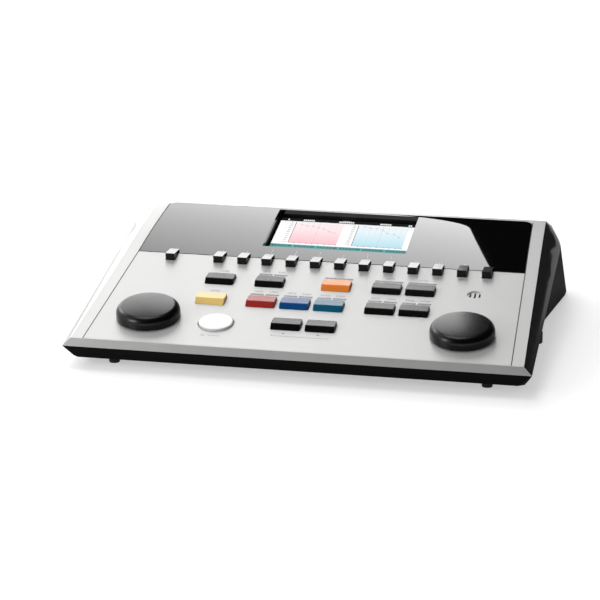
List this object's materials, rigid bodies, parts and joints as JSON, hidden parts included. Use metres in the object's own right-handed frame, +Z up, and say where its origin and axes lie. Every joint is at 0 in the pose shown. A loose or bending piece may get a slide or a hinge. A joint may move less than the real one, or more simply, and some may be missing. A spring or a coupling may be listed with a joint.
{
  "type": "desktop audiometer",
  "caption": "Low wedge-shaped hearing test console with a sloping deck of keys, two large dials, a round button and a recessed screen in a curved panel.",
  "frame": {"origin": "centre of the footprint at table height", "axes": "+X to the user's right, +Y to the back, +Z up"},
  "size_m": [0.3056, 0.224, 0.0518],
  "materials": {
    "black_base": "semi-gloss moulded",
    "silver_frame": "satin silver coat",
    "silver_deck": "fine matt silver foil",
    "display_black": "high gloss",
    "tray_black": "matt",
    "screen": "lit picture",
    "dial_black": "semi-gloss",
    "steel": "turned",
    "button_white": "smooth",
    "key_black": "semi-gloss",
    "key_orange": "semi-gloss",
    "key_yellow": "semi-gloss",
    "key_red": "semi-gloss",
    "key_blue": "semi-gloss",
    "key_teal": "semi-gloss",
    "light_grey": "frosted",
    "switch_black": "matt",
    "board_green": "lacquered",
    "metal_small": "zinc plated",
    "socket_black": "fine matt",
    "foot_rubber": "matt"
  },
  "bodies": {
    "console": {"bottom_shell": "black_base", "top_frame": "silver_frame", "left_cheek": "black_base", "right_cheek": "black_base", "deck_panel": "silver_deck", "display_panel": "display_black", "screen_tray": "tray_black", "screen_module": "screen", "left_encoder": "steel", "right_encoder": "steel", "light_bars": "light_grey", "key_switches": "switch_black", "key_board": "board_green", "board_spacers": "metal_small", "board_screws": "metal_small", "microphone": "switch_black", "main_board": "board_green", "main_screws": "metal_small", "connector_plate": "socket_black", "jack_sockets": "socket_black", "data_socket": "metal_small", "power_inlet": "socket_black", "front_feet": "foot_rubber", "middle_feet": "foot_rubber", "rear_feet": "foot_rubber", "case_screws": "metal_small"},
    "left_dial": {"left_dial": "dial_black", "left_shaft": "steel"},
    "right_dial": {"right_dial": "dial_black", "right_shaft": "steel"},
    "round_button": {"round_button": "button_white"},
    "tab_1": {"tab_1": "key_black"},
    "tab_2": {"tab_2": "key_black"},
    "tab_3": {"tab_3": "key_black"},
    "tab_4": {"tab_4": "key_black"},
    "tab_5": {"tab_5": "key_black"},
    "tab_6": {"tab_6": "key_black"},
    "tab_7": {"tab_7": "key_black"},
    "tab_8": {"tab_8": "key_black"},
    "tab_9": {"tab_9": "key_black"},
    "tab_10": {"tab_10": "key_black"},
    "tab_11": {"tab_11": "key_black"},
    "tab_12": {"tab_12": "key_black"},
    "tab_13": {"tab_13": "key_black"},
    "key_1": {"key_1": "key_black"},
    "key_2": {"key_2": "key_black"},
    "key_3": {"key_3": "key_orange"},
    "key_4": {"key_4": "key_black"},
    "key_5": {"key_5": "key_black"},
    "key_6": {"key_6": "key_yellow"},
    "key_7": {"key_7": "key_red"},
    "key_8": {"key_8": "key_blue"},
    "key_9": {"key_9": "key_teal"},
    "key_10": {"key_10": "key_black"},
    "key_11": {"key_11": "key_black"},
    "key_12": {"key_12": "key_black"},
    "key_13": {"key_13": "key_black"}
  },
  "joints": [
    {"name": "left_dial_turn", "type": "hinge", "parent": "console", "child": "left_dial", "pos_m": [-0.102, -0.07633, 0.0257], "axis": [0, -0.1564, 0.9877], "continuous": true},
    {"name": "right_dial_turn", "type": "hinge", "parent": "console", "child": "right_dial", "pos_m": [0.102, -0.07633, 0.0257], "axis": [0, -0.1564, 0.9877], "continuous": true},
    {"name": "round_button_press", "type": "slide", "parent": "console", "child": "round_button", "axis": [0, 0.1564, -0.9877], "range_m": [0, 0.0018], "stiffness_N_per_m": 600, "springref_m": -0.0012},
    {"name": "tab_1_press", "type": "slide", "parent": "console", "child": "tab_1", "axis": [0, 0.1564, -0.9877], "range_m": [0, 0.001], "stiffness_N_per_m": 700, "springref_m": -0.001},
    {"name": "tab_2_press", "type": "slide", "parent": "console", "child": "tab_2", "axis": [0, 0.1564, -0.9877], "range_m": [0, 0.001], "stiffness_N_per_m": 700, "springref_m": -0.001},
    {"name": "tab_3_press", "type": "slide", "parent": "console", "child": "tab_3", "axis": [0, 0.1564, -0.9877], "range_m": [0, 0.001], "stiffness_N_per_m": 700, "springref_m": -0.001},
    {"name": "tab_4_press", "type": "slide", "parent": "console", "child": "tab_4", "axis": [0, 0.1564, -0.9877], "range_m": [0, 0.001], "stiffness_N_per_m": 700, "springref_m": -0.001},
    {"name": "tab_5_press", "type": "slide", "parent": "console", "child": "tab_5", "axis": [0, 0.1564, -0.9877], "range_m": [0, 0.001], "stiffness_N_per_m": 700, "springref_m": -0.001},
    {"name": "tab_6_press", "type": "slide", "parent": "console", "child": "tab_6", "axis": [0, 0.1564, -0.9877], "range_m": [0, 0.001], "stiffness_N_per_m": 700, "springref_m": -0.001},
    {"name": "tab_7_press", "type": "slide", "parent": "console", "child": "tab_7", "axis": [0, 0.1564, -0.9877], "range_m": [0, 0.001], "stiffness_N_per_m": 700, "springref_m": -0.001},
    {"name": "tab_8_press", "type": "slide", "parent": "console", "child": "tab_8", "axis": [0, 0.1564, -0.9877], "range_m": [0, 0.001], "stiffness_N_per_m": 700, "springref_m": -0.001},
    {"name": "tab_9_press", "type": "slide", "parent": "console", "child": "tab_9", "axis": [0, 0.1564, -0.9877], "range_m": [0, 0.001], "stiffness_N_per_m": 700, "springref_m": -0.001},
    {"name": "tab_10_press", "type": "slide", "parent": "console", "child": "tab_10", "axis": [0, 0.1564, -0.9877], "range_m": [0, 0.001], "stiffness_N_per_m": 700, "springref_m": -0.001},
    {"name": "tab_11_press", "type": "slide", "parent": "console", "child": "tab_11", "axis": [0, 0.1564, -0.9877], "range_m": [0, 0.001], "stiffness_N_per_m": 700, "springref_m": -0.001},
    {"name": "tab_12_press", "type": "slide", "parent": "console", "child": "tab_12", "axis": [0, 0.1564, -0.9877], "range_m": [0, 0.001], "stiffness_N_per_m": 700, "springref_m": -0.001},
    {"name": "tab_13_press", "type": "slide", "parent": "console", "child": "tab_13", "axis": [0, 0.1564, -0.9877], "range_m": [0, 0.001], "stiffness_N_per_m": 700, "springref_m": -0.001},
    {"name": "key_1_press", "type": "slide", "parent": "console", "child": "key_1", "axis": [0, 0.1564, -0.9877], "range_m": [0, 0.0015], "stiffness_N_per_m": 600, "springref_m": -0.001},
    {"name": "key_2_press", "type": "slide", "parent": "console", "child": "key_2", "axis": [0, 0.1564, -0.9877], "range_m": [0, 0.0015], "stiffness_N_per_m": 600, "springref_m": -0.001},
    {"name": "key_3_press", "type": "slide", "parent": "console", "child": "key_3", "axis": [0, 0.1564, -0.9877], "range_m": [0, 0.0015], "stiffness_N_per_m": 600, "springref_m": -0.001},
    {"name": "key_4_press", "type": "slide", "parent": "console", "child": "key_4", "axis": [0, 0.1564, -0.9877], "range_m": [0, 0.0015], "stiffness_N_per_m": 600, "springref_m": -0.001},
    {"name": "key_5_press", "type": "slide", "parent": "console", "child": "key_5", "axis": [0, 0.1564, -0.9877], "range_m": [0, 0.0015], "stiffness_N_per_m": 600, "springref_m": -0.001},
    {"name": "key_6_press", "type": "slide", "parent": "console", "child": "key_6", "axis": [0, 0.1564, -0.9877], "range_m": [0, 0.0015], "stiffness_N_per_m": 600, "springref_m": -0.001},
    {"name": "key_7_press", "type": "slide", "parent": "console", "child": "key_7", "axis": [0, 0.1564, -0.9877], "range_m": [0, 0.0015], "stiffness_N_per_m": 600, "springref_m": -0.001},
    {"name": "key_8_press", "type": "slide", "parent": "console", "child": "key_8", "axis": [0, 0.1564, -0.9877], "range_m": [0, 0.0015], "stiffness_N_per_m": 600, "springref_m": -0.001},
    {"name": "key_9_press", "type": "slide", "parent": "console", "child": "key_9", "axis": [0, 0.1564, -0.9877], "range_m": [0, 0.0015], "stiffness_N_per_m": 600, "springref_m": -0.001},
    {"name": "key_10_press", "type": "slide", "parent": "console", "child": "key_10", "axis": [0, 0.1564, -0.9877], "range_m": [0, 0.0015], "stiffness_N_per_m": 600, "springref_m": -0.001},
    {"name": "key_11_press", "type": "slide", "parent": "console", "child": "key_11", "axis": [0, 0.1564, -0.9877], "range_m": [0, 0.0015], "stiffness_N_per_m": 600, "springref_m": -0.001},
    {"name": "key_12_press", "type": "slide", "parent": "console", "child": "key_12", "axis": [0, 0.1564, -0.9877], "range_m": [0, 0.0015], "stiffness_N_per_m": 600, "springref_m": -0.001},
    {"name": "key_13_press", "type": "slide", "parent": "console", "child": "key_13", "axis": [0, 0.1564, -0.9877], "range_m": [0, 0.0015], "stiffness_N_per_m": 600, "springref_m": -0.001}
  ]
}
